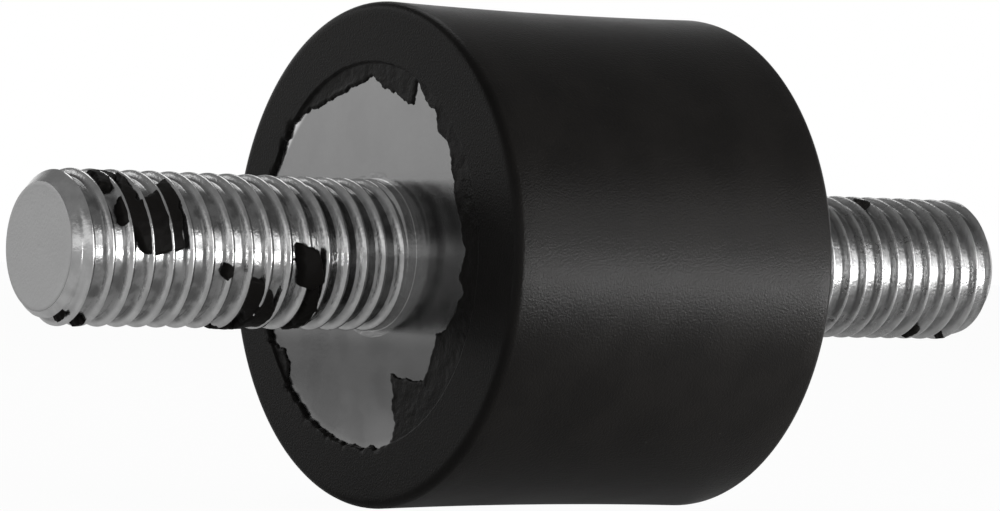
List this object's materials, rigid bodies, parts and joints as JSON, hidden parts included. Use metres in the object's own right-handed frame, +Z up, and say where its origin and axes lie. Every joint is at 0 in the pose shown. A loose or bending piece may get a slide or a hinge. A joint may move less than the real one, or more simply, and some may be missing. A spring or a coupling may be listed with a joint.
{
  "type": "bobbin vibration mount",
  "caption": "Cylindrical rubber vibration mount with a steel plate bonded into each end and a threaded stud standing out of each plate.",
  "frame": {"origin": "middle of the rubber body, on the stud axis", "axes": "+X along the stud axis from the front stud (torn flash) to the rear stud, +Z up"},
  "size_m": [0.091, 0.04, 0.04],
  "materials": {
    "rubber": "black moulded natural rubber, satin, with torn flash round the front stud",
    "plate_steel": "bare steel plate, smooth and slightly grey",
    "zinc_bright": "bright zinc plate with rubber smears",
    "zinc_dull": "dull, blotchy zinc plate"
  },
  "bodies": {
    "root": {"rubber_body": "rubber", "front_plate": "plate_steel", "front_stud": "zinc_bright", "rear_plate": "plate_steel", "rear_stud": "zinc_dull"}
  },
  "joints": []
}
